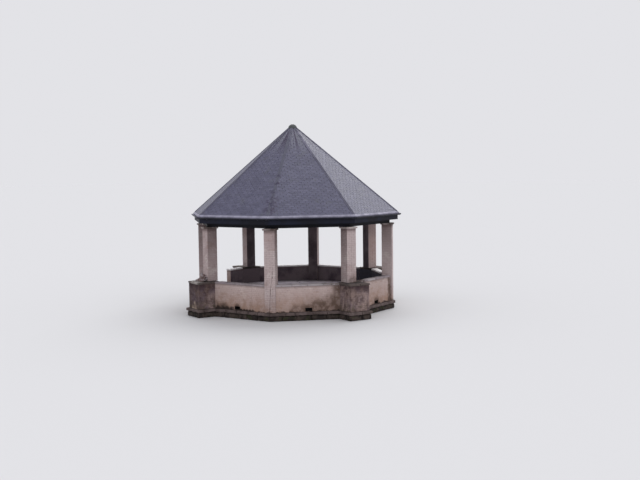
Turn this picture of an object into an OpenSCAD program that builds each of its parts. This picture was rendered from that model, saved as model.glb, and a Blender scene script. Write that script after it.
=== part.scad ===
// Eight-sided open bandstand: brick piers on a parapet, under a steep slate roof.
// Sizes are in millimetres. The centre of the floor plan is the origin, the ground is at height 0,
// and side 0, the front, faces -Y. Sides and corners are counted towards +X.

/* [Parapet] */
// Distance from the centre to the outer face of the parapet wall
wall_face = 4086; // [3700:1:4500]
// Thickness of the parapet wall
wall_t = 225; // [150:1:330]
// Height of the parapet above the plinth, with its coping
parapet_h = 1130; // [800:1:1300]
// Thickness of the coping
coping_t = 75; // [50:1:100]
// Overhang of the coping on each face of the wall
coping_over = 40; // [20:1:60]
// Where the wall beside the entrance stops, from the middle of that side
entrance_edge = -160; // [-600:1:300]
// Width of the vent in the foot of a wall
vent_w = 290; // [150:1:400]
// Height of the vent
vent_h = 140; // [70:1:200]
// Height of the sill of the vent above the plinth
vent_sill = 20; // [10:1:60]
// Place of the vent in the front right wall, from its middle
vent_front_right_at = -110; // [-500:1:500]
// Place of the vent in the right wall, from its middle
vent_right_at = 260; // [-500:1:500]

/* [Base] */
// Height of the plinth
plinth_h = 350; // [250:1:500]
// Height of the top course of the plinth
plinth_course = 130; // [80:1:200]
// How far the top course stands out from walls and pedestals
plinth_step = 130; // [60:1:200]
// How far the lower courses stand back under the top course
plinth_back = 40; // [10:1:80]
// Height of the floor above the plinth
floor_h = 370; // [200:1:500]
// Joint between the floor and the masonry round it
floor_gap = 2; // [1:1:10]

/* [Piers] */
// Width of a square brick pier
pier_w = 440; // [330:1:560]
// Height of a pier above the plinth
pier_h = 3340; // [2600:1:3800]
// Thickness of the slab on a pier
pier_cap_t = 75; // [50:1:100]
// Overhang of the slab on a pier
pier_cap_over = 60; // [30:1:80]

/* [Pedestals] */
// Width of a pedestal
pedestal_w = 920; // [700:1:1100]
// How far a pedestal stands out from its pier
pedestal_out = 565; // [300:1:800]
// Thickness of the cap slab of a pedestal
pedestal_cap_t = 90; // [60:1:120]

/* [Ring beam] */
// Width of the ring beam
beam_w = 200; // [150:1:300]
// Height of the ring beam
beam_h = 400; // [250:1:500]
// Width of the wall plate on the beam
plate_w = 150; // [100:1:150]
// Height of the wall plate
plate_h = 100; // [75:1:150]

/* [Roof] */
// Pitch of the roof slopes in degrees
roof_pitch = 42; // [35:0.1:45]
// Run of the slope from the middle of the ring beam to the edge of the slates
eaves_run = 485; // [440:1:650]
// Thickness of boards, battens and slates together
cover_t = 60; // [45:1:80]
// Depth of a common rafter
rafter_d = 225; // [175:1:250]
// Width of a common rafter
rafter_w = 50; // [38:1:75]
// Spacing of the rafters
rafter_gap = 560; // [450:1:650]
// Length of the level seat that a rafter has on the plate
rafter_seat = 75; // [30:1:90]
// Width of a hip rafter
hip_w = 60; // [50:1:80]
// Width across the flats of the king post
king_w = 220; // [200:1:300]
// Height of the king post
king_h = 900; // [700:1:1200]

/* [Eaves] */
// Height of the fascia board
fascia_h = 260; // [200:1:300]
// Thickness of the fascia board
fascia_t = 30; // [20:1:40]
// How far the slates lip past the fascia
slate_lip = 55; // [45:1:90]
// Thickness of the soffit boards
soffit_t = 20; // [15:1:30]
// Outer radius of the half-round gutter
gutter_r = 68; // [55:1:75]
// Thickness of the gutter wall
gutter_wall = 5; // [4:1:8]
// Drop from the edge of the slates to the rim of the gutter
gutter_drop = 30; // [20:1:60]

/* [Flashings] */
// Width of the flashing on the lowest slates
flashing_w = 90; // [60:1:180]
// Height of the turned-down edge of that flashing
flashing_lip = 35; // [20:1:60]
// Thickness of the flashings
flashing_t = 6; // [4:1:10]
// Width of a hip flashing on each slope
hip_flash_w = 60; // [40:1:150]
// Radius of the roll along a hip
roll_r = 12; // [8:1:30]
// Radius of the domed apex cap at its foot
apex_r = 200; // [160:1:300]
// Rise of the dome over the point where the slates meet
apex_rise = 10; // [5:1:40]

/* [Hidden] */
// Sides of the plan and the half angle that one side takes up
sides = 8;
half_turn = 180 / sides;
// A gap left in mitres, so that neighbours in one node stay apart
mitre_gap = 2;
// A length longer than any side
long = 9000;
// Facets of round pieces
round_fn = 48;

// The side with the entrance, and the corners with a pedestal
entrance_side = sides - 2;
pedestal_corners = [for (k = [1 : 2 : sides - 1]) k];
// Places of the vents from the middles of their walls, side by side
vent_at = concat([0, vent_front_right_at, vent_right_at], [for (s = [3 : sides - 1]) 0]);

// Plan
wall_inner = wall_face - wall_t;
pier_front = wall_face / cos(half_turn);
pier_back = pier_front - pier_w;
pier_r = pier_front - pier_w / 2;
pedestal_front = pier_front + pedestal_out;
plinth_face = wall_face + plinth_step;

// Heights
lower_h = plinth_h - plinth_course;
parapet_top = plinth_h + parapet_h;
coping_z = parapet_top - coping_t;
pedestal_cap_z = parapet_top - pedestal_cap_t;
pier_top = plinth_h + pier_h;
beam_z = pier_top + pier_cap_t;
plate_z = beam_z + beam_h;
plate_top = plate_z + plate_h;

// Ring beam and roof planes, measured out from the centre to the middle of a side
beam_mid = pier_r * cos(half_turn);
beam_out = beam_mid + beam_w / 2;
plate_out = beam_mid + plate_w / 2;
seat_in = plate_out - rafter_seat;
slate_edge = beam_mid + eaves_run;
fascia_out = slate_edge - slate_lip;
fascia_in = fascia_out - fascia_t;
slope = tan(roof_pitch);
rafter_rise = rafter_d / cos(roof_pitch);
cover_rise = cover_t / cos(roof_pitch);

function under_z(a) = plate_top + (seat_in - a) * slope;
function rafter_z(a) = under_z(a) + rafter_rise;
function slate_z(a) = rafter_z(a) + cover_rise;

fascia_top = rafter_z(fascia_out);
fascia_z = fascia_top - fascia_h;
soffit_z = fascia_z + fascia_t / 2;
gutter_mid = fascia_out + gutter_r;
gutter_rim = slate_z(slate_edge) - gutter_drop;
apex_z = slate_z(0);
king_in = king_w / 2;

side_names = ["front", "front_right", "right", "back_right", "back", "back_left", "left", "front_left"];
corner_names = ["front_right", "right_front", "right_back", "back_right",
                "back_left", "left_back", "left_front", "front_left"];

function has_pedestal(k) = len(search(k, pedestal_corners)) > 0;

// Turns a piece drawn for the front, outwards along -Y, to side s
module at_side(s) {
    rotate([0, 0, s * 2 * half_turn]) children();
}

// Turns a piece drawn outwards along -Y to corner k
module at_corner(k) {
    rotate([0, 0, (2 * k + 1) * half_turn]) children();
}

// Plan of one side, cut to a point at the centre, with its edges moved in by the given gap
module wedge(gap) {
    tip = gap / sin(half_turn);
    spread = long * tan(half_turn);
    polygon([[0, -tip], [spread, -tip - long], [-spread, -tip - long]]);
}

// Extrudes an outline of outward distance and height along the front side
module along_front(length) {
    translate([length / 2, 0, 0])
        rotate([90, 0, -90])
            linear_extrude(length) children();
}

// Runs an outline along the front side and mitres its ends
module side_run() {
    intersection() {
        along_front(long) children();
        linear_extrude(2 * long) wedge(mitre_gap / 2);
    }
}

// Runs an outline along all the sides
module ring_run() {
    for (s = [0 : sides - 1])
        at_side(s) side_run() children();
}

// Outline of a rectangle from inner to outer distance, standing at height z
function bar(inner, outer, z, h) = [[inner, z], [outer, z], [outer, z + h], [inner, z + h]];

// Eight-sided plan with its flats at the given distance
module octagon(flat) {
    rotate(half_turn) circle(r = flat / cos(half_turn), $fn = sides);
}

// Plan of a rectangle across a corner, between two distances from the centre
module corner_rect(near, far, width) {
    translate([-width / 2, -far]) square([width, far - near]);
}

// Plan of what stands at corner k between the walls, grown by the given joint
module corner_post(k, joint) {
    at_corner(k)
        if (has_pedestal(k)) corner_rect(pier_back - joint, pedestal_front, pedestal_w + 2 * joint);
        else corner_rect(pier_back - joint, pier_front, pier_w + 2 * joint);
}

// Plinth under the whole floor: a top course that stands out over the lower ones
module base_plinth() {
    color("dimgray") {
        linear_extrude(lower_h) octagon(plinth_face - plinth_back);
        translate([0, 0, lower_h])
            linear_extrude(plinth_course) octagon(plinth_face);
    }
}

// Plan of the feet under the pedestals, drawn in by the given amount
module feet_plan(back) {
    step = plinth_step - back;
    difference() {
        for (k = pedestal_corners)
            at_corner(k) corner_rect(wall_face + step, pedestal_front + step, pedestal_w + 2 * step);
        octagon(wall_face + step);
    }
}

module pedestal_feet() {
    color("dimgray") {
        linear_extrude(lower_h) feet_plan(plinth_back);
        translate([0, 0, lower_h])
            linear_extrude(plinth_course) feet_plan(0);
    }
}

module floor_platform() {
    color("slategray")
        translate([0, 0, plinth_h])
            linear_extrude(floor_h)
                difference() {
                    octagon(wall_inner - floor_gap);
                    for (k = [0 : sides - 1]) corner_post(k, floor_gap);
                }
}

// Plan of the parapet on side s between two distances, cut back to the posts at its ends
module parapet_plan(s, inner, outer, post_over) {
    difference() {
        intersection() {
            at_side(s) translate([-long / 2, -outer]) square([long, outer - inner]);
            at_side(s) wedge(0);
        }
        for (k = [s - 1, s])
            at_corner(k)
                if (has_pedestal((k + sides) % sides))
                    corner_rect(0, long, pedestal_w + 2 * post_over);
                else
                    corner_rect(0, long, pier_w);
        if (s == entrance_side)
            at_side(s) translate([entrance_edge, -long]) square(long);
    }
}

// Opening through the foot of a wall, drawn for the front at the given place
module vent(place) {
    translate([place - vent_w / 2, -long, plinth_h + vent_sill])
        cube([vent_w, long, vent_h]);
}

module wall(s) {
    color("peachpuff")
        difference() {
            translate([0, 0, plinth_h])
                linear_extrude(parapet_h - coping_t)
                    parapet_plan(s, wall_inner, wall_face, 0);
            if (s != entrance_side)
                at_side(s) vent(vent_at[s]);
        }
}

module parapet_coping() {
    color("rosybrown")
        translate([0, 0, coping_z])
            linear_extrude(coping_t)
                for (s = [0 : sides - 1])
                    parapet_plan(s, wall_inner - coping_over, wall_face + coping_over, coping_over);
}

module pedestal(k) {
    color("saddlebrown")
        translate([0, 0, plinth_h])
            linear_extrude(parapet_h - pedestal_cap_t) corner_post(k, 0);
}

module pedestal_caps() {
    color("gray")
        translate([0, 0, pedestal_cap_z])
            linear_extrude(pedestal_cap_t)
                for (k = pedestal_corners)
                    at_corner(k)
                        corner_rect(pier_back, pedestal_front + coping_over, pedestal_w + 2 * coping_over);
}

module pier(k) {
    foot = has_pedestal(k) ? parapet_top : plinth_h;
    color("mistyrose")
        translate([0, 0, foot])
            linear_extrude(pier_top - foot)
                at_corner(k) corner_rect(pier_back, pier_front, pier_w);
}

module pier_caps() {
    color("lightgray")
        translate([0, 0, pier_top])
            linear_extrude(pier_cap_t)
                for (k = [0 : sides - 1])
                    at_corner(k)
                        corner_rect(pier_back - pier_cap_over, pier_front + pier_cap_over,
                                    pier_w + 2 * pier_cap_over);
}

module ring_beam() {
    color("midnightblue")
        ring_run() polygon(bar(beam_mid - beam_w / 2, beam_out, beam_z, beam_h));
}

module wall_plate() {
    color("burlywood")
        ring_run() polygon(bar(beam_mid - plate_w / 2, plate_out, plate_z, plate_h));
}

module soffit() {
    color("midnightblue")
        ring_run() polygon(bar(beam_out, fascia_in, soffit_z, soffit_t));
}

module fascia() {
    outline = [[fascia_in, fascia_z], [fascia_out, fascia_z], [fascia_out, fascia_top],
               [fascia_in, rafter_z(fascia_in)]];
    color("midnightblue")
        ring_run() polygon(outline);
}

// Half-round channel, hung on the fascia by its own back
module gutter() {
    color("midnightblue")
        ring_run()
            translate([gutter_mid, gutter_rim]) {
                difference() {
                    circle(gutter_r, $fn = round_fn);
                    circle(gutter_r - gutter_wall, $fn = round_fn);
                    translate([-gutter_r, 0]) square(2 * gutter_r);
                }
                translate([-gutter_r, -gutter_r / 2]) square([gutter_wall, gutter_r / 2]);
            }
}

module king_post() {
    color("burlywood")
        intersection() {
            translate([0, 0, apex_z - cover_rise - king_h])
                linear_extrude(2 * king_h) rotate(half_turn) octagon(king_in);
            roof_space(0);
        }
}

// Room under all the slopes, up to the given rise over the rafters
module roof_space(rise) {
    intersection_for (s = [0 : sides - 1])
        at_side(s)
            along_front(2 * long)
                polygon([[-slate_edge, 0], [slate_edge, 0], [slate_edge, rafter_z(slate_edge) + rise],
                         [-slate_edge, rafter_z(-slate_edge) + rise]]);
}

// Outline of a rafter between two distances, seated on the plate, with its top edge raised
function rafter_outline(inner, outer, raised) = [
    [inner, under_z(inner)], [seat_in, plate_top], [plate_out, plate_top],
    [plate_out, under_z(plate_out)], [outer, under_z(outer)],
    [outer, rafter_z(outer) + raised], [inner, rafter_z(inner) + raised]
];

// Everything lower than the top of the soffit boards, outside the ring beam
module soffit_room() {
    linear_extrude(soffit_z + soffit_t)
        difference() {
            octagon(slate_edge);
            octagon(beam_out);
        }
}

module common_rafters() {
    reach = seat_in * tan(half_turn) - hip_w - rafter_w;
    count = floor(reach / rafter_gap);
    color("burlywood")
        for (s = [0 : sides - 1])
            at_side(s)
                difference() {
                    intersection() {
                        for (i = [-count : count])
                            translate([i * rafter_gap, 0, 0])
                                along_front(rafter_w)
                                    polygon(rafter_outline(king_in / cos(half_turn), fascia_in, 0));
                        linear_extrude(2 * long) wedge(hip_w / 2);
                    }
                    soffit_room();
                }
}

// Hip rafters, sawn deep and then backed to both slopes, with a square end in the corner of the fascia
module hip_rafters() {
    grow = 1 / cos(half_turn);
    tail = fascia_in - hip_w / 2 * sin(half_turn);
    sawn = rafter_outline(king_in * cos(half_turn), tail, rafter_d);
    outline = [for (p = sawn) [p[0] * grow, p[1]]];
    color("burlywood")
        for (k = [0 : sides - 1])
            difference() {
                intersection() {
                    at_corner(k) along_front(hip_w) polygon(outline);
                    roof_space(0);
                }
                soffit_room();
            }
}

// Boards, battens and slates of one slope, lipping over the fascia
module roof_slope(s) {
    lip = cover_rise / 2;
    outline = [[0, rafter_z(0)], [fascia_out, fascia_top], [fascia_out, slate_z(fascia_out) - lip],
               [slate_edge, slate_z(slate_edge) - lip], [slate_edge, slate_z(slate_edge)], [0, apex_z]];
    color("lightslategray")
        at_side(s) side_run() polygon(outline);
}

module eaves_flashing() {
    run = flashing_w * cos(roof_pitch);
    rise = flashing_t / cos(roof_pitch);
    top = slate_edge - run;
    edge = slate_edge + flashing_t;
    outline = [[top, slate_z(top)], [slate_edge, slate_z(slate_edge)],
               [slate_edge, slate_z(slate_edge) - flashing_lip], [edge, slate_z(slate_edge) - flashing_lip],
               [edge, slate_z(edge) + rise], [top, slate_z(top) + rise]];
    color("lavender")
        ring_run() polygon(outline);
}

// Strip of lead on both sides of each hip, with a roll on the hip itself
module hip_flashing() {
    rise = flashing_t / cos(roof_pitch);
    foot = slate_edge - flashing_w * cos(roof_pitch);
    head = apex_r * cos(half_turn);
    outline = [[head, slate_z(head)], [foot, slate_z(foot)], [foot, slate_z(foot) + rise],
               [head, slate_z(head) + rise]];
    hip_slope = atan(slope * cos(half_turn));
    foot_r = foot / cos(half_turn);
    color("gray")
        for (k = [0 : sides - 1])
            intersection() {
                union() {
                    at_side(k) side_run() polygon(outline);
                    at_side(k + 1) side_run() polygon(outline);
                    at_corner(k)
                        translate([0, -foot_r, slate_z(foot) + rise])
                            rotate([-90 + hip_slope, 0, 0])
                                cylinder(r = roll_r, h = foot_r / cos(hip_slope), $fn = sides);
                }
                linear_extrude(2 * long)
                    at_corner(k) corner_rect(apex_r, foot_r, 2 * hip_flash_w);
            }
}

// Lead dome over the apex, dressed down on the slopes
module apex_cap() {
    foot = slate_z(apex_r);
    top = apex_z + apex_rise;
    dome_r = (apex_r * apex_r + (top - foot) * (top - foot)) / (2 * (top - foot));
    color("dimgray")
        difference() {
            intersection() {
                translate([0, 0, top - dome_r]) sphere(dome_r, $fn = round_fn);
                translate([0, 0, foot]) cylinder(r = 2 * apex_r, h = 2 * apex_r, $fn = round_fn);
            }
            roof_space(cover_rise);
        }
}

base_plinth();
pedestal_feet();
floor_platform();
for (s = [0 : sides - 1])
    wall(s);
parapet_coping();
for (k = pedestal_corners)
    pedestal(k);
pedestal_caps();
for (k = [0 : sides - 1])
    pier(k);
pier_caps();
ring_beam();
wall_plate();
soffit();
fascia();
gutter();
king_post();
hip_rafters();
common_rafters();
for (s = [0 : sides - 1])
    roof_slope(s);
eaves_flashing();
hip_flashing();
apex_cap();
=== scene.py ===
import random
from math import atan, cos, pi, radians, sin, tan

import bpy
from mathutils import Matrix, Vector, noise


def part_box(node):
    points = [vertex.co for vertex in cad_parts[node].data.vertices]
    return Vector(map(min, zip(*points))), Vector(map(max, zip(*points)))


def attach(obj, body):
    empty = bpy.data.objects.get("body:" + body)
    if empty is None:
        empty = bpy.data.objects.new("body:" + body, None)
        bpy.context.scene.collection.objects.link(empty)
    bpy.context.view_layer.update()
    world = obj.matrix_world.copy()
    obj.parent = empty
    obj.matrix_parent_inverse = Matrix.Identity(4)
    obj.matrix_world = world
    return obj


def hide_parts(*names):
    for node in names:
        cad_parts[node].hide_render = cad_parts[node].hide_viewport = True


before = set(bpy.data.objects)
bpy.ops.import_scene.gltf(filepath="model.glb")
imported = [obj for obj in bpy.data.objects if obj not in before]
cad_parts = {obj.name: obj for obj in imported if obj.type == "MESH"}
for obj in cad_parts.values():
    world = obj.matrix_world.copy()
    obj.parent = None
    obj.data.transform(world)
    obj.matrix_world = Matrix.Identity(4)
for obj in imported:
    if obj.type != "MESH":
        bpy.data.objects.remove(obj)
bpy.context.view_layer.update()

# Sides and corners are counted from the front, which faces -Y, towards +X
around = range(8)
sideNames = ["front", "front_right", "right", "back_right", "back", "back_left", "left", "front_left"]
cornerNames = ["front_right", "right_front", "right_back", "back_right",
               "back_left", "left_back", "left_front", "front_left"]
pedestalCorners = (1, 3, 5, 7)
entranceSide = 6
sideTurn = radians(45)
halfTurn = sideTurn / 2
sideSpread = tan(halfTurn)  # half the width of a side for each metre outwards
slack = 0.01  # keeps a search between two heights clear of the level faces there
random.seed(8)
noise.seed_set(8)  # without it the roughness of the stones is new in every run


def jitter(most):
    return random.uniform(-most, most)


def cornerTurn(corner):
    return corner * sideTurn + halfTurn


def atSide(side):
    return Matrix.Rotation(side * sideTurn, 4, "Z")


def atCorner(corner):
    return Matrix.Rotation(cornerTurn(corner), 4, "Z")


def reachOf(node, turn=0.0, low=-1.0, high=100.0):
    # how far a CAD node reaches across, outwards and up between two heights, seen from a side or corner
    spin = Matrix.Rotation(-turn, 3, "Z")
    spots = [spin @ vertex.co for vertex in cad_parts[node].data.vertices]
    spots = [(spot.x, -spot.y, spot.z) for spot in spots if low < spot.z < high]
    return [(min(values), max(values)) for values in zip(*spots)]


# Setting out, read from the frame
_, (wallInner, wallFace), (plinthTop, wallTop) = reachOf("wall_front")
(_, pierHalf), (pierBack, pierFront), (_, pierTop) = reachOf("pier_front_right", cornerTurn(0))
(_, pedestalHalf), (_, pedestalFront), (_, pedestalTop) = reachOf("pedestal_right_front", cornerTurn(1))
copingFace = reachOf("parapet_coping")[1][1]
copingOver = copingFace - wallFace
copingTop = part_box("parapet_coping")[1].z
pedestalCapFace = reachOf("pedestal_caps", cornerTurn(1))[1][1]
pierCapOver = reachOf("pier_caps", cornerTurn(0))[1][1] - pierFront
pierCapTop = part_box("pier_caps")[1].z
plinthFace = reachOf("base_plinth")[1][1]
footFace = reachOf("pedestal_feet", cornerTurn(1))[1][1]
plinthBack = plinthFace - reachOf("base_plinth", 0, -slack, slack)[1][1]
ledgeLow = reachOf("base_plinth", 0, slack, plinthTop - slack)[2][0]
entranceEdge = reachOf("wall_left", entranceSide * sideTurn)[0][1]
# How far out the face of a wall meets the side of a pedestal
wallMeets = (wallFace - pedestalHalf * sin(halfTurn)) / cos(halfTurn)


def roofPlane():
    # pitch, height of the apex and length of the slope, from the CAD slope at the front
    sameEdge = 0.0005
    spots = [(-vertex.co.y, vertex.co.z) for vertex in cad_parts["roof_front"].data.vertices]
    tipOut, tipUp = max(spots, key=lambda spot: spot[1])
    edgeOut = max(out for out, up in spots)
    edgeUp = max(up for out, up in spots if out > edgeOut - sameEdge)
    slope = (tipUp - edgeUp) / (edgeOut - tipOut)
    pitch = atan(slope)
    return pitch, tipUp + tipOut * slope, edgeOut / cos(pitch)


roofPitch, apexUp, slopeLength = roofPlane()
slopeSpread = cos(roofPitch) * sideSpread  # half the width of a slope for each metre down it


def ventOf(side):
    # left, right, lower and upper edge of the vent in the foot of a wall
    across, _, up = reachOf("wall_" + sideNames[side], side * sideTurn, plinthTop + slack, wallTop - slack)
    return *across, *up


def alongSide(side, across, up, out=wallFace):
    # a place given by its distance across from the middle of a side, its height and its distance outwards
    return atSide(side) @ Vector((across, -out, up))


def outAt(corner, out, across=0.0, up=0.0):
    # a place given by its distances outwards and across from a corner of the plan
    return atCorner(corner) @ Vector((across, -out, up))


def onHip(corner, out):
    return outAt(corner, out, 0, apexUp - out * cos(halfTurn) * tan(roofPitch))


# Shapes are gathered as points, faces and a tone for each point, and made into one mesh a piece.
# Noise per metre that roughens them, how far apart blocks draw from it, and the widest softened edge
roughening = {"broad": 9, "fine": 31, "apart": 50, "widest": 0.3}
smoothBelow = radians(38)


def newShape():
    return {"points": [], "faces": [], "tones": []}


def slantedPlan(outerEnds, innerEnds, inner, outer):
    # corners of a plan: outer left, outer right, inner right, inner left
    left, right = [Vector((across, -outer)) for across in outerEnds]
    return [left, right] + [Vector((across, -inner)) for across in reversed(innerEnds)]


def planOf(left, right, inner, outer):
    return slantedPlan((left, right), (left, right), inner, outer)


def addPoint(shape, spot, tone):
    shape["points"].append(tuple(spot))
    shape["tones"].append(tone)
    return len(shape["points"]) - 1


def addBlock(shape, plan, low, high, place, tone=0.5, cell=0.0, wander=0.0, rough=0.0, soften=0.0):
    # a block over a four-cornered plan: plain with nudged corners, or cut into cells and roughened
    sizes = ((plan[1] - plan[0]).length, (plan[3] - plan[0]).length, high - low)
    cuts = [max(1, round(size / cell)) if cell else 1 for size in sizes]
    margins = [min(roughening["widest"], soften / max(size, 0.001)) for size in sizes]
    seed = Vector([jitter(roughening["apart"]) for _ in range(3)])
    made = {}

    def point(steps):
        if steps not in made:
            shares = [step / cut for step, cut in zip(steps, cuts)]
            atEdge = [step in (0, cut) for step, cut in zip(steps, cuts)]
            if sum(atEdge) > 1:
                shares = [min(max(share, margin), 1 - margin) if edge else share
                          for share, margin, edge in zip(shares, margins, atEdge)]
            front = plan[0].lerp(plan[1], shares[0])
            back = plan[3].lerp(plan[2], shares[0])
            spot = front.lerp(back, shares[1]).to_3d()
            spot.z = low + (high - low) * shares[2]
            if rough:
                broad = noise.noise_vector(spot * roughening["broad"] + seed) * rough
                spot += broad + noise.noise_vector(spot * roughening["fine"] + seed) * rough / 2
            if wander:
                spot += Vector([jitter(wander) for _ in range(3)])
            made[steps] = addPoint(shape, place @ spot, tone)
        return made[steps]

    def face(*corners):
        shape["faces"].append([point(steps) for steps in corners])

    nx, ny, nz = cuts
    for i in range(nx):
        for j in range(ny):
            face((i, j, 0), (i, j + 1, 0), (i + 1, j + 1, 0), (i + 1, j, 0))
            face((i, j, nz), (i + 1, j, nz), (i + 1, j + 1, nz), (i, j + 1, nz))
    for i in range(nx):
        for k in range(nz):
            face((i, 0, k), (i + 1, 0, k), (i + 1, 0, k + 1), (i, 0, k + 1))
            face((i, ny, k), (i, ny, k + 1), (i + 1, ny, k + 1), (i + 1, ny, k))
    for j in range(ny):
        for k in range(nz):
            face((0, j, k), (0, j, k + 1), (0, j + 1, k + 1), (0, j + 1, k))
            face((nx, j, k), (nx, j + 1, k), (nx, j + 1, k + 1), (nx, j, k + 1))


def addSlab(shape, top, bottom, tone):
    # a flat slab between two outlines, both running counterclockwise seen from above
    upper = [addPoint(shape, spot, tone) for spot in top]
    lower = [addPoint(shape, spot, tone) for spot in bottom]
    shape["faces"] += [upper, lower[::-1]]
    for i, corner in enumerate(upper):
        after = (i + 1) % len(upper)
        shape["faces"].append([corner, lower[i], lower[after], upper[after]])


def addToScene(name, content):
    made = bpy.data.objects.new(name, content)
    bpy.context.collection.objects.link(made)
    return made


def makePiece(name, shape, finish, replaced=(), arris=0.0, soft=False):
    mesh = bpy.data.meshes.new(name)
    onGround = [(x, y, max(z, 0.0)) for x, y, z in shape["points"]]
    mesh.from_pydata(onGround, [], shape["faces"])
    mesh.attributes.new("tone", "FLOAT", "POINT").data.foreach_set("value", shape["tones"])
    mesh.materials.append(finishes[finish])
    if soft:
        mesh.shade_smooth()
        mesh.set_sharp_from_angle(angle=smoothBelow)
    piece = addToScene(name, mesh)
    if arris:
        bevel = piece.modifiers.new("arris", "BEVEL")
        bevel.width = arris
        bevel.segments = 1
        bevel.limit_method = "ANGLE"
    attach(piece, "root")
    if replaced:
        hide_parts(*replaced)


def tint(red, green, blue):
    # a colour as it looks on screen, 0 to 255
    def straight(value):
        value /= 255
        return value / 12.92 if value <= 0.04045 else ((value + 0.055) / 1.055) ** 2.4
    return (straight(red), straight(green), straight(blue), 1.0)


class Finish:
    # a material whose colours are laid one over another, each named in its look or given as a socket

    def __init__(self, name, look, colour, specular, roughness=0.5):
        self.look = look
        self.colour = colour
        self.material = bpy.data.materials.new(name)
        self.material.use_nodes = True
        self.tree = self.material.node_tree
        self.surface = self.tree.nodes["Principled BSDF"]
        self.surface.inputs["Specular IOR Level"].default_value = specular
        self.surface.inputs["Roughness"].default_value = roughness
        self.where = self.node("TexCoord").outputs["Object"]

    def node(self, kind, inputs=None, **settings):
        made = self.tree.nodes.new("ShaderNode" + kind)
        for key, value in settings.items():
            setattr(made, key, value)
        for key, value in (inputs or {}).items():
            if isinstance(value, bpy.types.NodeSocket):
                self.tree.links.new(value, made.inputs[key])
            else:
                made.inputs[key].default_value = tint(*self.look[value]) if isinstance(value, str) else value
        return made

    def calc(self, operation, first, second=0.0):
        return self.node("Math", {0: first, 1: second}, operation=operation).outputs[0]

    def times(self, first, second):
        return self.calc("MULTIPLY", first, second)

    def plus(self, first, second):
        return self.calc("ADD", first, second)

    def vectors(self, operation, *inputs):
        return self.node("VectorMath", dict(enumerate(inputs)), operation=operation).outputs

    def fade(self, value, low, high, start=0.0, end=1.0):
        # a smooth step from start to end as the value goes from low to high
        inputs = {"Value": value, "From Min": low, "From Max": high, "To Min": start, "To Max": end}
        return self.node("MapRange", inputs, interpolation_type="SMOOTHSTEP").outputs["Result"]

    def grain(self, scale, detail=4.0, rough=0.55, stretch=None, where=None):
        # noise in metres of the object, drawn out along an axis where stretch says so
        where = where or self.where
        if stretch:
            where = self.node("Mapping", {"Vector": where, "Scale": stretch}).outputs["Vector"]
        inputs = {"Vector": where, "Scale": scale, "Detail": detail, "Roughness": rough}
        return self.node("TexNoise", inputs).outputs["Fac"]

    def tone(self):
        return self.node("Attribute", attribute_name="tone").outputs["Fac"]

    def height(self):
        return self.node("SeparateXYZ", {0: self.where}).outputs["Z"]

    def facing(self):
        return self.node("NewGeometry").outputs["True Normal"]

    def facingUp(self):
        return self.node("SeparateXYZ", {0: self.facing()}).outputs["Z"]

    def awayFromMiddle(self):
        # level direction from the middle of the bandstand
        return self.vectors("NORMALIZE", self.vectors("MULTIPLY", self.where, (1, 1, 0))[0])[0]

    def facingOut(self):
        # 1 on faces that look away from the middle, -1 on those that look at it, 0 on their sides
        return self.vectors("DOT_PRODUCT", self.awayFromMiddle(), self.facing())["Value"]

    def nearTo(self, spot, full, none):
        # 1 within one distance of a spot, fading to 0 at another
        return self.fade(self.vectors("DISTANCE", self.where, spot)["Value"], full, none, 1.0, 0.0)

    def mix(self, amount, first, second):
        return self.node("Mix", {0: amount, 6: first, 7: second}, data_type="RGBA").outputs[2]

    def spotted(self, under, name, amount=1.0, over=None):
        # a colour round the look's spots of its name, each with the distances at which it is full and gone
        for spot, full, none in self.look["spots"].get(name, ()):
            under = self.mix(self.times(self.nearTo(spot, full, none), amount), under, over or name)
        return under

    def lay(self, colour, amount):
        self.colour = self.mix(amount, self.colour, colour)

    def patches(self, colour, scale, low, high, most=1.0, **kind):
        # a colour where the grain of a scale rises from low to high
        self.lay(colour, self.fade(self.grain(scale, **kind), low, high, 0, most))

    def spots(self, name, amount=1.0):
        self.colour = self.spotted(self.colour, name, amount)

    def done(self, rise, depth, roughness=None):
        relief = self.node("Bump", {"Height": rise, "Distance": depth, "Strength": 1.0})
        self.tree.links.new(relief.outputs["Normal"], self.surface.inputs["Normal"])
        self.tree.links.new(self.colour, self.surface.inputs["Base Color"])
        if roughness:
            self.tree.links.new(roughness, self.surface.inputs["Roughness"])
        return self.material


# Painted brickwork: walls and piers share it with other colours. Spots are given by side, distance
# across and height, or by corner, distances outwards and across and height, then where full and gone
def wallSpots(*rows):
    return [(alongSide(*row[:3]), *row[3:]) for row in rows]


def cornerSpots(*rows):
    return [(outAt(*row[:4]), *row[4:]) for row in rows]


def ventSpots(full, none):
    edges = [(side, *ventOf(side)) for side in around if side != entranceSide]
    return [(alongSide(side, (left + right) / 2, (low + high) / 2), full, none)
            for side, left, right, low, high in edges]


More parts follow.
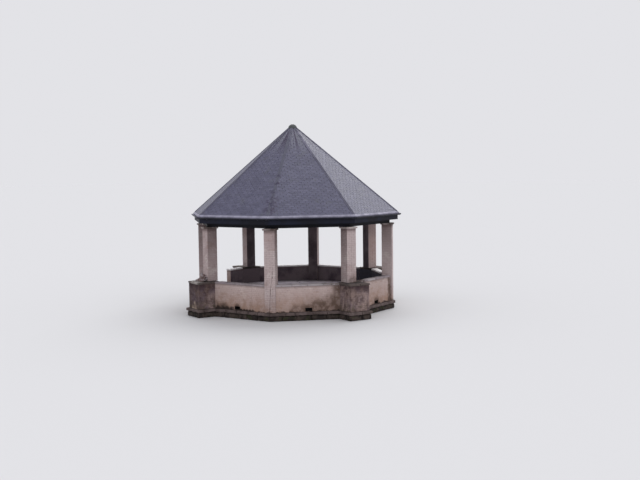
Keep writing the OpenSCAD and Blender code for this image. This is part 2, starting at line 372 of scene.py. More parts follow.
sharedSpots = {
    # painted light on the lit side of the rear right pier
    "litPostSide": [(outAt(3, (pierBack + pierFront) / 2, -pierHalf, up), 0.5, 0.7) for up in (1.8, 2.4, 3.0)],
    "vent": ventSpots(0.3, 0.35),
    # painted shade in the far inside corner at the back right
    "shade": [(outAt(3, wallInner, 0, 1.0), 1.0, 1.4), (alongSide(3, 0, 1.0, wallInner), 1.55, 1.8)]}
wallPaint = {
    "paint": (192, 174, 171), "faded": (180, 162, 157), "palest": (210, 194, 190), "joint": (178, 159, 154),
    "foot": (156, 128, 113), "footTop": 1.1, "specks": 0.68, "sootAndShade": (110, 97, 95), "runs": 0.15,
    "head": 0.45, "headDeep": 0.1, "top": wallTop, "litPostSide": (194, 164, 155), "vent": (22, 19, 20),
    "inside": (116, 104, 109), "insideDark": (80, 70, 78), "shade": (66, 66, 76), "dirt": (52, 42, 39),
    "stain": (100, 82, 73),
    "spots": {
        **sharedSpots,
        "dirt": wallSpots(
            *[(0, across, plinthTop, 0.09, 0.19) for across in (-1.3, -1.05, -0.8, -0.55, -0.3)],
            *[(0, across, plinthTop, 0.05, 0.11) for across in (0.2, 0.35, 0.5, 0.65, 0.8)]),
        "stain": ventSpots(0.1, 0.24) + wallSpots(
            (1, 1.2, 1.3, 0.15, 0.45), (1, 1.2, 0.7, 0.3, 0.6), (1, 0.75, 0.45, 0.3, 0.75),
            (1, 0.1, 0.35, 0.25, 0.7), (1, -0.6, 0.3, 0.15, 0.5), (0, -1.2, 0.5, 0.08, 0.3),
            (0, -1.34, 1.25, 0.05, 0.22), (0, -0.75, 0.42, 0.1, 0.35), (2, 0.3, 0.3, 0.1, 0.5),
            (2, 1.32, 0.36, 0.05, 0.12),
            # a brown strip where the right wall meets the right back pier: stain together with painted shade
            # of the pier's side
            *[(2, 1.38, up, 0.07, 0.2) for up in (0.45, 0.65, 0.85, 1.05, 1.25, 1.4)])}}
pierPaint = {
    "paint": (187, 172, 171), "faded": (171, 153, 152), "palest": (208, 198, 194), "joint": (163, 145, 143),
    "foot": (150, 126, 116), "footTop": 0.8, "specks": 0.6, "sootAndShade": (98, 83, 81), "runs": 0.3,
    "head": 0.7, "headDeep": 0.18, "top": pierTop, "litPostSide": (194, 164, 155), "vent": (22, 19, 20),
    "inside": (110, 99, 103), "insideDark": (82, 72, 77), "shade": (82, 72, 77), "dirt": (70, 56, 50),
    "stain": (88, 68, 58),
    "spots": {
        **sharedSpots,
        "stain": cornerSpots(
            *[(2, pierFront - 0.17, -pierHalf, up, 0.08, 0.16) for up in (0.45, 0.62, 0.79, 0.96, 1.13, 1.3)],
            (1, pierFront, 0.1, copingTop, 0.12, 0.36))}}
# painted shade: the sides of posts darken under the eaves, more the higher they go
sideShade = (1.9, 3.5, 0.17, 0.62)  # heights between which the sides of posts darken, and how much there
innerFace = (-0.75, -0.45, 1, 0)  # how far round a face turns before it gets the colours of the inside


def brickPaint(name, look):
    paint = Finish(name, look, "paint", specular=0.25, roughness=0.88)
    tone, height, turned = paint.tone(), paint.height(), paint.facingOut()
    broad = paint.grain(1.1, 5)
    fine = paint.grain(34, 6, 0.7)
    patchy = paint.fade(paint.grain(3.2, 6, 0.65), 0.35, 0.62)
    paint.lay("faded", paint.fade(broad, 0.38, 0.66))
    paint.patches("palest", 2.3, 0.56, 0.7, most=0.6, detail=3)
    paint.lay("foot", paint.times(paint.fade(tone, 0.72, 1.0, 0, 0.35), paint.fade(broad, 0.35, 0.6)))
    paint.lay("joint", paint.fade(tone, 0.0, 0.15, 1, 0))
    nearFoot = paint.fade(height, plinthTop, plinthTop + look["footTop"], 1, 0)
    paint.lay("foot", paint.times(nearFoot, paint.fade(patchy, 0, 1, 0.6, 1)))
    paint.patches("sootAndShade", 5.5, 0.55, 0.75, most=look["runs"], rough=0.6, stretch=(1, 1, 0.13))
    paint.lay("foot", paint.fade(fine, look["specks"], 0.74, 0, 0.7))
    paint.patches("sootAndShade", 13, 0.56, 0.68, most=0.3, detail=5, rough=0.6)
    paint.spots("stain", paint.fade(patchy, 0, 1, 0.4, 1))
    ragged = paint.plus(height, paint.fade(paint.grain(6, 6, 0.7), 0.35, 0.65, -0.05, 0.05))
    paint.lay("dirt", paint.fade(ragged, plinthTop, plinthTop + 0.05, 0.85, 0))
    paint.spots("dirt", paint.fade(patchy, 0, 0.5, 0.55, 0.95))
    # painted shade on faces that turn sideways, mostly the sides of posts, deepening up under the eaves
    sideways = paint.fade(paint.calc("ABSOLUTE", turned), 0.3, 0.6, 1, 0)
    paint.lay("sootAndShade", paint.times(sideways, paint.fade(height, *sideShade)))
    # painted light: paler, warmer paint on the lit side of the rear right pier
    paint.spots("litPostSide", 0.2)
    # near black in the reveals of the vents: dirt together with painted shade
    paint.spots("vent", sideways)
    # faces turned to the middle: darker paint together with painted shade of the roofed inside
    inside = paint.mix(paint.fade(broad, 0.4, 0.62), "inside", "insideDark")
    paint.lay(paint.spotted(inside, "shade"), paint.fade(turned, *innerFace))
    # darker at the heads, under the coping and under the pier slabs: grime with painted shade
    top = look["top"]
    paint.lay("sootAndShade", paint.fade(height, top - look["headDeep"], top - 0.02, 0, look["head"]))
    return paint.done(paint.plus(paint.times(paint.grain(11, 5), 0.6), fine), 0.006)


# Pedestals: brown stained brick, purple-grey where the paint has turned, pale where it flakes
pedestalLook = {
    "brick": (108, 90, 84), "dark": (60, 45, 48), "turned": (108, 94, 100), "flake": (138, 121, 118),
    "moss": (82, 74, 60), "joint": (84, 72, 70), "pale": (162, 141, 135), "bare": (164, 146, 132),
    "inside": wallPaint["inside"], "shade": wallPaint["shade"],
    "spots": {
        "pale": cornerSpots(
            (1, pedestalFront, 0.25, 0.7, 0.25, 0.68), (1, pierFront, -0.46, 0.9, 0.45, 0.95),
            (7, wallMeets + 0.15, pedestalHalf, 0.65, 0.2, 0.5)),
        "bare": cornerSpots(
            (7, pedestalFront, 0.12, 0.38, 0.03, 0.22), (7, pedestalFront, -0.12, 0.36, 0.03, 0.18),
            (7, pedestalFront, 0.05, 0.6, 0.01, 0.12)),
        "dark": cornerSpots((7, pedestalFront, -0.1, 0.95, 0.35, 0.8)),
        "shade": sharedSpots["shade"]}}


def stainedBrick():
    brick = Finish("stainedBrick", pedestalLook, "brick", specular=0.2, roughness=0.92)
    tone, height = brick.tone(), brick.height()
    broad = brick.grain(2.1, 6, 0.6)
    streaks = brick.grain(6.5, 5, 0.6, stretch=(1, 1, 0.2))
    flaking = brick.fade(brick.grain(7.5, 7, 0.62), 0.56, 0.68, 0, 0.5)
    brick.lay("turned", brick.fade(broad, 0.42, 0.6))
    brick.lay("dark", brick.fade(tone, 0.55, 1.0, 0, 0.25))
    brick.spots("pale", brick.fade(streaks, 0.36, 0.64, 0.3, 0.8))
    brick.spots("dark", 0.4)
    brick.lay("joint", brick.fade(tone, 0.0, 0.15, 0.5, 0))
    brick.patches("dark", 5.2, 0.46, 0.64, most=0.6, detail=6, rough=0.62)
    brick.lay("flake", flaking)
    # darker in patches towards the top, under the cap
    nearCap = brick.fade(height, copingTop - 0.45, copingTop - 0.1)
    brick.lay("dark", brick.times(nearCap, brick.fade(broad, 0.3, 0.6)))
    mossy = brick.fade(height, plinthTop, plinthTop + 0.5, 0.7, 0)
    brick.lay("moss", brick.times(mossy, brick.fade(brick.grain(6), 0.45, 0.6)))
    brick.spots("bare", brick.fade(brick.grain(11, 6, 0.7), 0.4, 0.54))
    # faces turned to the middle: darker paint together with painted shade, as on the walls
    brick.lay(brick.spotted("inside", "shade"), brick.fade(brick.facingOut(), *innerFace))
    return brick.done(brick.plus(brick.times(flaking, 0.7), brick.grain(30, 6, 0.7)), 0.008)


# Cast stone of copings and slabs, cracked and bleached in places, and near white on the rear copings:
# bleaching with painted sheen
copingLook = {
    "stone": (146, 134, 138), "dark": (112, 102, 105), "palest": (236, 232, 232), "lichen": (124, 119, 104),
    "stain": (78, 64, 58),
    # the rear copings near white: bleaching together with painted sheen
    "spots": {"palest": cornerSpots(*[(corner, wallFace, 0, copingTop, 1.8, 2.4) for corner in (3, 4, 5)]),
              "stain": cornerSpots((1, wallFace, 0, copingTop, 0.8, 1.3))}}
capLook = {
    "stone": (82, 71, 68), "dark": (44, 37, 35), "palest": (140, 132, 128), "lichen": (94, 92, 66),
    # painted highlight along the top edge of the front left pedestal's cap
    "spots": {"palest": cornerSpots((7, pedestalCapFace, 0.1, copingTop, 0.15, 0.5))}}
pierSlabLook = {
    "stone": (180, 168, 165), "dark": (126, 113, 110), "palest": (212, 204, 200), "lichen": (150, 144, 128),
    "stain": (84, 72, 68),
    # darker round the slabs of all piers but the right front one: stain together with painted shade under the
    # beam
    "spots": {"stain": cornerSpots(*[(corner, pierFront, 0, pierCapTop, 0.45, 0.8)
                                     for corner in around if corner != 1])}}


def castStone(name, look):
    stone = Finish(name, look, "stone", specular=0.35)
    patches = stone.grain(4, 6, 0.65)
    fine = stone.grain(42, 6, 0.7)
    stone.patches("dark", 1.8, 0.4, 0.64, detail=5)
    stone.lay("palest", stone.fade(stone.tone(), 0.0, 1.0, 0, 0.25))
    stone.patches("lichen", 7, 0.58, 0.68, most=0.6, detail=6, rough=0.7)
    # palest round the look's spots: on the rear copings bleaching with painted sheen, on the front left cap a
    # painted highlight
    stone.spots("palest", stone.fade(patches, 0.2, 0.36))
    stone.spots("stain", stone.fade(patches, 0.36, 0.56))
    stone.lay("dark", stone.fade(fine, 0.56, 0.72, 0, 0.5))
    polish = 0.0
    for spot in look["spots"].get("palest", ()):
        polish = stone.calc("MAXIMUM", polish, stone.nearTo(*spot))
    return stone.done(stone.plus(fine, stone.grain(9, 5)), 0.004, stone.fade(polish, 0, 1, 0.85, 0.4))


# Foot of the building: a worn grey ledge over dark, damp and mossy stones
plinthLook = {"stone": (72, 62, 57), "dark": (40, 34, 32), "moss": (52, 54, 33),
              "ledge": (106, 93, 91), "trodden": (78, 67, 65)}


def mossyStone():
    stone = Finish("mossyStone", plinthLook, "ledge", specular=0.25, roughness=0.92)
    stone.patches("trodden", 2.6, 0.4, 0.64, detail=6, rough=0.65)
    stone.lay("stone", stone.fade(stone.tone(), 0.3, 1.0, 0, 0.3))
    ledge = stone.colour
    stone.colour = "stone"
    stone.patches("dark", 3.1, 0.38, 0.6, detail=6, rough=0.62)
    stone.patches("moss", 2.2, 0.52, 0.62, most=0.8, detail=7, rough=0.7)
    ragged = stone.plus(stone.height(), stone.fade(stone.grain(5, 6, 0.65), 0.35, 0.65, -0.03, 0.03))
    stone.lay(ledge, stone.fade(ragged, ledgeLow - 0.012, ledgeLow + 0.02))
    stone.patches("dark", 30, 0.58, 0.74, most=0.6, detail=6, rough=0.7)
    return stone.done(stone.grain(24, 7, 0.7), 0.01)


# Screed of the floor, cracked and patched. Its sides are near black, painted shade where they show through
# the vents, and dirty at the entrance
floorLook = {
    "screed": (196, 186, 195), "nearCap": (150, 140, 149), "dust": (202, 193, 194), "crack": (92, 83, 87),
    "crackScale": 0.45, "bend": 0.45, "side": (22, 19, 20), "step": (118, 106, 103), "stepDirt": (74, 64, 61),
    "spots": {"step": wallSpots((entranceSide, entranceEdge + 0.7, plinthTop, 1.1, 1.3))}}


def floorScreed():
    screed = Finish("floorScreed", floorLook, "screed", specular=0.35, roughness=0.8)
    step = screed.mix(screed.fade(screed.grain(5, 6, 0.65), 0.4, 0.62), "step", "stepDirt")
    # sides: painted shade, dirtier near the entrance
    sides = screed.spotted("side", "step", over=step)
    wobble = screed.node("TexNoise", {"Vector": screed.where, "Scale": 2.4, "Detail": 4.0}).outputs["Color"]
    bent = screed.vectors("MULTIPLY_ADD", wobble, [floorLook["bend"]] * 3, screed.where)[0]
    cells = {"Vector": bent, "Scale": floorLook["crackScale"]}
    edge = screed.node("TexVoronoi", cells, feature="DISTANCE_TO_EDGE").outputs["Distance"]
    crack = screed.fade(edge, 0.003, 0.01, 1, 0)
    screed.patches("nearCap", 0.7, 0.4, 0.6, detail=6)
    screed.patches("dust", 3.5, 0.5, 0.7, most=0.6, detail=6)
    screed.lay("crack", crack)
    screed.lay(sides, screed.fade(screed.facingUp(), 0.3, 0.7, 1, 0))
    return screed.done(screed.calc("SUBTRACT", screed.grain(26, 6, 0.7), crack), 0.003)


# Old dark paint on beam, fascia and soffit; the beam's copy is darker still as painted shade under the soffit
navyBoards = {"paint": (20, 24, 41), "worn": (36, 40, 57), "grime": (11, 12, 24), "rough": 0.5}
navyBeamShaded = {"paint": (11, 13, 23), "worn": (20, 21, 32), "grime": (6, 7, 13), "rough": 0.55}


def navyPaint(name, look):
    paint = Finish(name, look, "paint", specular=0.2)
    fine = paint.grain(22, 6, 0.65, stretch=(1, 1, 6))
    paint.patches("grime", 1.7, 0.4, 0.65, detail=5)
    paint.lay("worn", paint.fade(fine, 0.55, 0.72, 0, 0.7))
    return paint.done(fine, 0.002, paint.fade(fine, 0.3, 0.7, look["rough"], look["rough"] + 0.2))


# Sawn timber, darkened by age
timberLook = {"wood": (104, 78, 56), "dark": (52, 38, 30), "grey": (112, 100, 90)}


def sawnTimber():
    wood = Finish("sawnTimber", timberLook, "wood", specular=0.3, roughness=0.8)
    lines = wood.grain(9, 6, 0.6, stretch=(1, 1, 5))
    wood.lay("dark", wood.fade(lines, 0.36, 0.64))
    wood.patches("grey", 1.4, 0.45, 0.7, most=0.6)
    wood.lay("dark", wood.fade(wood.tone(), 0.0, 1.0, 0, 0.5))
    return wood.done(lines, 0.003)


# Slates, with darker runs down from the apex, small dark flecks and a stain along one hip
slateLook = {
    "slate": (77, 76, 100), "light": (87, 86, 110), "dark": (65, 64, 87), "fleck": (54, 52, 66),
    "moss": (80, 82, 86), "stain": (46, 36, 66), "rinsed": (103, 103, 117), "edge": (122, 121, 138),
    "spots": {"stain": [(onHip(0, out), 0.04, 0.22) for out in (2.7, 3.1, 3.5)] +
                       [(onHip(0, out), 0.12, 0.42) for out in (3.9, 4.2, 4.45)]}}


def slateFinish():
    slate = Finish("roofSlate", slateLook, "dark", specular=0.36)
    tone = slate.tone()
    fine = slate.grain(30, 6, 0.65)
    streaks = slate.grain(6.5, 2, 0.5, where=slate.awayFromMiddle())
    nearApex = slate.fade(slate.height(), apexUp - 1.5, apexUp - 0.5)
    slate.lay("slate", slate.fade(tone, 0.0, 0.55))
    slate.lay("light", slate.fade(tone, 0.6, 1.0))
    slate.lay("slate", 0.35)
    slate.lay("rinsed", slate.times(slate.fade(streaks, 0.46, 0.52, 0, 0.8), nearApex))
    slate.lay("stain", slate.times(slate.fade(streaks, 0.48, 0.42), nearApex))
    slate.patches("fleck", 16, 0.57, 0.67, most=0.7, detail=5, rough=0.7)
    slate.patches("moss", 2.4, 0.55, 0.7, most=0.35, detail=6, rough=0.65)
    slate.spots("stain", slate.fade(slate.grain(7, 6, 0.7), 0.44, 0.54, 0, 0.85))
    # painted light on the tails that look down, offsetting the shade under each course
    slate.lay("edge", slate.fade(slate.facingUp(), -0.2, 0.2, 1, 0))
    return slate.done(fine, 0.002, slate.fade(fine, 0.3, 0.7, 0.34, 0.52))


# Sheet metal: pale along the eaves, slate-grey on the hips, darker on the apex, with painted shade on every
# face that looks down, as under the gutter
eavesLook = {"sheet": (144, 142, 161), "dull": (119, 117, 134), "dirt": (84, 80, 90), "under": (18, 19, 33),
             "rough": 0.45, "spots": {}}
hipLook = {
    "sheet": (100, 99, 114), "dull": (92, 91, 106), "dirt": (72, 70, 84), "under": (60, 58, 70), "rough": 0.7,
    "pale": eavesLook["dull"], "worn": (88, 88, 103), "stain": slateLook["stain"],
    # pale near the top of the right front hip: painted highlight
    "spots": {"pale": [(onHip(1, out), out / 8, out / 3) for out in (0.5, 0.9, 1.3)],
              # darker along the front hip: painted shade that takes back the sheen of its roll
              "worn": [(onHip(0, out), 0.5, 0.7) for out in (1.2, 2.0, 2.8, 3.6, 4.4)],
              "stain": slateLook["spots"]["stain"]}}
apexLook = {"sheet": (80, 84, 84), "dull": (58, 60, 64), "dirt": (42, 42, 46), "under": (40, 40, 46),
            "rough": 0.5, "spots": {}}


def sheetMetal(name, look):
    sheet = Finish(name, look, "sheet", specular=0.35)
    broad = sheet.grain(2.6, 6, 0.6)
    sheet.lay("dull", sheet.fade(broad, 0.4, 0.62))
    # pale spots: on the hips a painted highlight near the top of the right front hip
    sheet.spots("pale")
    # darker spots: on the hips painted shade along the front hip
    sheet.spots("worn")
    sheet.spots("stain", sheet.fade(sheet.grain(7, 6, 0.7), 0.5, 0.56, 0, 0.7))
    sheet.patches("dirt", 13, 0.58, 0.72, most=0.8, detail=6, rough=0.7)
    # painted shade on faces that look down
    sheet.lay("under", sheet.fade(sheet.facingUp(), -0.15, 0.05, 1, 0))
    roughness = sheet.fade(broad, 0.3, 0.7, look["rough"], look["rough"] + 0.2)
    return sheet.done(sheet.grain(6, 3), 0.004, roughness)


# Bare reddish brick where the face is broken off
brokenLook = {"brick": (134, 115, 112), "dark": (98, 82, 81), "mortar": (166, 154, 157)}


def brokenBrick():
    brick = Finish("brokenBrick", brokenLook, "brick", specular=0.2, roughness=0.95)
    brick.patches("dark", 14, 0.4, 0.62, detail=6, rough=0.7)
    brick.lay("mortar", brick.fade(brick.tone(), 0.5, 0.6))
    return brick.done(brick.grain(40, 6, 0.7), 0.006)


# Finishes, each with the CAD nodes that keep their shape and wear it
finishes = {}
for finish, material, names in (
        ("walls", brickPaint("wallPaint", wallPaint), ["wall_" + name for name in sideNames]),
        ("piers", brickPaint("pierPaint", pierPaint), ["pier_" + name for name in cornerNames]),
        ("pedestals", stainedBrick(), ["pedestal_" + cornerNames[corner] for corner in pedestalCorners]),
        ("coping", castStone("copingStone", copingLook), []),
        ("pedestalCaps", castStone("pedestalCapStone", capLook), []),
        ("pierSlabs", castStone("pierSlabStone", pierSlabLook), []),
        ("plinth", mossyStone(), []),
        ("floor", floorScreed(), ["floor_platform"]),
        ("navyBoards", navyPaint("navyBoards", navyBoards), ["fascia"]),
        ("navyBeamShaded", navyPaint("navyBeamShaded", navyBeamShaded), ["ring_beam"]),
        ("timber", sawnTimber(), ["wall_plate", "king_post", "hip_rafters", "common_rafters"]),
        ("slate", slateFinish(), []),
        ("eaves", sheetMetal("eavesSheet", eavesLook), ["eaves_flashing", "gutter"]),
        ("hips", sheetMetal("hipSheet", hipLook), ["hip_flashing"]),
        ("apex", sheetMetal("apexSheet", apexLook), ["apex_cap"]),
        ("broken", brokenBrick(), [])):
    finishes[finish] = material
    for name in names:
        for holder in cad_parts[name].material_slots:
            holder.material = material
print("finishes made:", len(finishes))

# Brickwork: bricks stand a little proud of the CAD solids, whose faces are the mortar between them
brickwork = {"length": 0.215, "header": 0.1025, "joint": 0.010, "course": 0.075, "proud": 0.005, "sink": 0.1,
             "wander": 0.0022, "arris": 0.004, "tones": (0.3, 1.0), "mortarTone": 0.0, "headersEvery": 4,
             "leastEnd": 0.02, "leastPart": 0.015, "leastCourse": 0.012, "bedOver": 0.6, "coreInset": 0.01}
pierCrack = {"corner": 0, "width": 0.018, "path": [(0.44, -0.027), (1.3, 0.03), (1.62, 0.076), (2.19, 0.135)],
             "runOn": 0.1}
brokenFoot = {"corner": 7, "height": 0.36, "width": 0.04, "lean": 0.55, "deep": 0.3}


def coursesIn(low, high):
    count = max(1, round((high - low) / brickwork["course"]))
    step = (high - low) / count
    bed = brickwork["joint"] / 2
    return [(i, low + i * step + bed, low + (i + 1) * step - bed) for i in range(count)]


def bricksAlong(start, end, length, phase=0.0):
    # ends of the bricks along a course, each stretched a little so that the course fits
    joint, least = brickwork["joint"], brickwork["leastEnd"]
    count = max(1, round((end - start + joint) / (length + joint)))
    pitch = (end - start + joint) / count
    inner = [start + (i + phase) * pitch for i in range(count + 1)]
    edges = [start] + [edge for edge in inner if start + least < edge < end - least] + [end + joint]
    return [(left, right - joint) for left, right in zip(edges, edges[1:])]


def clearOf(gap, left, right, low, high):
    # parts of a brick that stay beside, under and over a gap
    gapLeft, gapRight, gapLow, gapHigh = gap
    if right <= gapLeft or left >= gapRight or high <= gapLow or low >= gapHigh:
        return [(left, right, low, high)]
    within = (max(left, gapLeft), min(right, gapRight))
    parts = ((left, gapLeft, low, high), (gapRight, right, low, high),
             (*within, low, gapLow), (*within, gapHigh, high))
    lengths = (gapLeft - left, right - gapRight, gapLow - low, high - gapHigh)
    leasts = (brickwork["leastPart"],) * 2 + (brickwork["leastCourse"],) * 2
    return [part for part, length, least in zip(parts, lengths, leasts) if length > least]


def addBrick(shape, left, right, inner, outer, low, high, place):
    tone = random.uniform(*brickwork["tones"])
    addBlock(shape, planOf(left, right, inner, outer), low, high, place, tone, wander=brickwork["wander"])


def clearHalf(out, corner):
    # from the middle of a side to the post at a corner, at one distance out
    post = pedestalHalf if corner % 8 in pedestalCorners else pierHalf
    return out * sideSpread - post / cos(halfTurn)


def wallBricks(side):
    shape = newShape()
    proud, sink = brickwork["proud"], brickwork["sink"]
    vent = None if side == entranceSide else ventOf(side)
    for inner, outer, face in ((wallFace - sink, wallFace + proud, wallFace),
                               (wallInner - proud, wallInner + sink, wallInner)):
        start = -clearHalf(face, side - 1)
        end = clearHalf(face, side) if vent else entranceEdge
        for i, low, high in coursesIn(plinthTop, wallTop):
            length = brickwork["length" if (i + 1) % brickwork["headersEvery"] else "header"]
            for left, right in bricksAlong(start, end, length, 0.5 if i % 2 else 0.0):
                parts = clearOf(vent, left, right, low, high) if vent else [(left, right, low, high)]
                for near, far, bottom, top in parts:
                    addBrick(shape, near, far, inner, outer, bottom, top, atSide(side))
    makePiece(sideNames[side] + "_wall_bricks", shape, "walls", arris=brickwork["arris"])


def addShell(shape, place, half, back, front, low, high, split=None, gone=None, bedded=False):
    # bricks round a square post, headers and stretchers changing places from course to course
    proud, depth, joint = brickwork["proud"], brickwork["header"], brickwork["joint"]
    half, back, front = half + proud, back - proud, front + proud

    def lay(left, right, inner, outer, bottom, top):
        if gone and gone((left + right) / 2, (inner + outer) / 2, (bottom + top) / 2):
            return
        addBrick(shape, left, right, inner, outer, bottom, top, place)
        if bedded:
            grow = joint * brickwork["bedOver"]
            plan = planOf(max(left - grow, proud - half), min(right + grow, half - proud),
                          max(inner - grow, back + proud), min(outer + grow, front - proud))
            addBlock(shape, plan, bottom - grow, top + grow, place, brickwork["mortarTone"])

    for i, bottom, top in coursesIn(low, high):
        inset = depth + joint if i % 2 else 0.0
        for left, right in bricksAlong(inset - half, half - inset, brickwork["length"]):
            lay(left, right, back, back + depth, bottom, top)
            parts = [(left, right, bottom, top)]
            if split and split(bottom):
                parts = clearOf((*split(bottom), low, high), left, right, bottom, top)
            for near, far, under, over in parts:
                lay(near, far, front - depth, front, under, over)
        inset = 0.0 if i % 2 else depth + joint
        for near, far in bricksAlong(back + inset, front - inset, brickwork["length"]):
            lay(-half, depth - half, near, far, bottom, top)
            lay(half - depth, half, near, far, bottom, top)


def crackAt(height):
    # left and right edge of the crack at a height, or nothing outside it
    path = pierCrack["path"]
    for (low, first), (high, second) in zip(path, path[1:]):
        if low - pierCrack["runOn"] <= height <= high:
            across = first + (second - first) * (height - low) / (high - low)
            return across - pierCrack["width"] / 2, across + pierCrack["width"] / 2
    return None


def pierBricks(corner):
    shape = newShape()
    place = atCorner(corner)
    name = "pier_" + cornerNames[corner]
    low = copingTop if corner in pedestalCorners else plinthTop
    cracked, broken = (corner == damage["corner"] for damage in (pierCrack, brokenFoot))

    def goneFromFoot(across, out, height):
        up = height - low
        return (up < brokenFoot["height"] and across < brokenFoot["width"] - up * brokenFoot["lean"]
                and out > pierFront - brokenFoot["deep"] + up)

    damaged = cracked or broken
    addShell(shape, place, pierHalf, pierBack, pierFront, low, pierTop,
             split=crackAt if cracked else None, gone=goneFromFoot if broken else None, bedded=damaged)
    if damaged:
        inset = brickwork["header"] - brickwork["coreInset"]
        addBlock(shape, planOf(inset - pierHalf, pierHalf - inset, pierBack + inset, pierFront - inset),
                 low, pierTop, place, brickwork["mortarTone"])
    makePiece(name + "_bricks", shape, "piers", [name] if damaged else (), brickwork["arris"])


def pedestalBricks(corner):
    shape = newShape()
    addShell(shape, atCorner(corner), pedestalHalf, pierBack, pedestalFront, plinthTop, pedestalTop)
    makePiece("pedestal_" + cornerNames[corner] + "_bricks", shape, "pedestals",
              arris=brickwork["arris"])


for side in around:
    wallBricks(side)
for corner in around:
    pierBricks(corner)
for corner in pedestalCorners:
    pedestalBricks(corner)
print("brickwork laid")

# Rubble where the foot of one pier is broken, and one brick that leans in it. Stones lie between the
# distances left and right of the middle, from start outwards, and the heap is highest at the pier
rubble = {"count": 170, "sizes": (0.02, 0.065), "left": -0.3, "right": 0.2, "start": -0.08, "reach": 0.38,
          "high": 0.3, "slump": 0.6, "narrow": 0.7, "turn": 6.3, "tilt": 0.5, "tones": (0.2, 0.9)}
# Shares of the size of each stone
rubbleShares = {"wide": 0.7, "high": 0.5, "bed": 0.35, "cell": 0.8, "rough": 0.3, "soften": 0.2}
looseBrick = {"at": (-0.12, 0.03, 0.22), "half": (0.107, 0.05, 0.032), "turn": 0.35, "tilt": 0.22,
              "cell": 0.03, "rough": 0.006}


def turned(spot, turn, tilt, axis):
    return Matrix.Translation(spot) @ Matrix.Rotation(turn, 4, "Z") @ Matrix.Rotation(tilt, 4, axis)


def rubbleHeap():
    shape = newShape()
    corner = brokenFoot["corner"]
    for _ in range(rubble["count"]):
        size = random.uniform(*rubble["sizes"])
        spread = random.random()
        narrow = rubble["narrow"]
        across = random.uniform(rubble["left"], rubble["right"]) * (narrow + spread * (1 - narrow))
        out = pierFront + rubble["start"] + rubble["reach"] * spread
        wide, high, bed, cell, rough, soften = [share * size for share in rubbleShares.values()]
        lift = rubble["high"] * (1 - spread) * random.random() ** rubble["slump"] + bed
        pose = turned(outAt(corner, out, across, copingTop + lift), random.uniform(0, rubble["turn"]),
                      jitter(rubble["tilt"]), "X")
        addBlock(shape, planOf(-size, size, -wide, wide), -high, high, pose, random.choice(rubble["tones"]),
                 cell=cell, rough=rough, soften=soften)
    across, inside, up = looseBrick["at"]
    long, wide, high = looseBrick["half"]
    pose = turned(outAt(corner, pierFront - inside, across, copingTop + up),
                  cornerTurn(corner) + looseBrick["turn"], looseBrick["tilt"], "Y")
    addBlock(shape, planOf(-long, long, -wide, wide), -high, high, pose, rubble["tones"][0],
             cell=looseBrick["cell"], rough=looseBrick["rough"], soften=looseBrick["rough"])
    makePiece("broken_bricks_and_rubble", shape, "broken", soft=True)


rubbleHeap()

# Copings and slabs
copingWork = {"slabs": 4, "atEntrance": 2, "gap": 0.006, "drop": 0.003}
copingFaces = {"cell": 0.06, "rough": 0.006, "soften": 0.007}
capWork = {"gap": 0.008, "inset": 0.004, "drop": 0.004, "tone": 0.5}
capFaces = {"cell": 0.06, "rough": 0.0078, "soften": 0.012}
pierSlabFaces = {"cell": 0.05, "rough": 0.005, "soften": 0.008}


def copingStones():
    shape = newShape()
    inner, outer = wallInner - copingOver, copingFace
    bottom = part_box("parapet_coping")[0].z
    over = copingOver / cos(halfTurn)
    gap = copingWork["gap"] / 2
    for side in around:
        ends = []
        for out in (outer, inner):
            left = -clearHalf(out, side - 1) + (over if (side - 1) % 8 in pedestalCorners else 0)
            right = clearHalf(out, side) - (over if side in pedestalCorners else 0)
            ends.append((left, entranceEdge if side == entranceSide else right))
        slabs = copingWork["atEntrance" if side == entranceSide else "slabs"]
        for i in range(slabs):
            slabEnds = [(left + (right - left) * i / slabs + gap,
                         left + (right - left) * (i + 1) / slabs - gap) for left, right in ends]
            drop = random.uniform(-copingWork["drop"], 0.0)
            addBlock(shape, slantedPlan(*slabEnds, inner, outer), bottom + drop, copingTop + drop,
                     atSide(side), random.random(), **copingFaces)
    makePiece("parapet_coping_slabs", shape, "coping", ["parapet_coping"], soft=True)


def pedestalSlabs():
    shape = newShape()
    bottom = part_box("pedestal_caps")[0].z
    half = pedestalHalf + copingOver
    gap = capWork["gap"] / 2
    for corner in pedestalCorners:
        for left, right in ((-half, -gap), (gap, half)):
            drop = random.uniform(-capWork["drop"], 0.0)
            addBlock(shape, planOf(left, right, pierBack, pedestalCapFace - capWork["inset"]), bottom + drop,
                     copingTop + drop, atCorner(corner), random.random() * capWork["tone"], **capFaces)
    makePiece("pedestal_cap_slabs", shape, "pedestalCaps", ["pedestal_caps"], soft=True)


def pierSlabs():
    shape = newShape()
    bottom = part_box("pier_caps")[0].z
    half = pierHalf + pierCapOver
    for corner in around:
        addBlock(shape, planOf(-half, half, pierBack - pierCapOver, pierFront + pierCapOver), bottom,
                 pierCapTop, atCorner(corner), random.random(), **pierSlabFaces)
    makePiece("pier_head_slabs", shape, "pierSlabs", ["pier_caps"], soft=True)


copingStones()
pedestalSlabs()
pierSlabs()

# Plinth: a course of worn kerb stones that stands out over rough, damp lower ones, round a plain core
plinthStones = {"length": 0.62, "uneven": 0.18, "deep": 0.3, "cell": 0.055, "gap": 0.008, "core": 0.06,
                "coreDrop": 0.012, "bed": 0.006, "leastDrop": 0.3,
                "ledge": {"rough": 0.009, "soften": 0.012, "inset": 0.009, "drop": 0.008},
                "lower": {"rough": 0.018, "soften": 0.016, "inset": 0.016, "drop": 0.004}}


def stoneCourses():
    # low edge, high edge, foot of the core, how far the course stands back, and its look
    return ((ledgeLow, plinthTop, ledgeLow, 0.0, plinthStones["ledge"]),
            (0.0, ledgeLow - plinthStones["bed"], 0.0, plinthBack, plinthStones["lower"]))


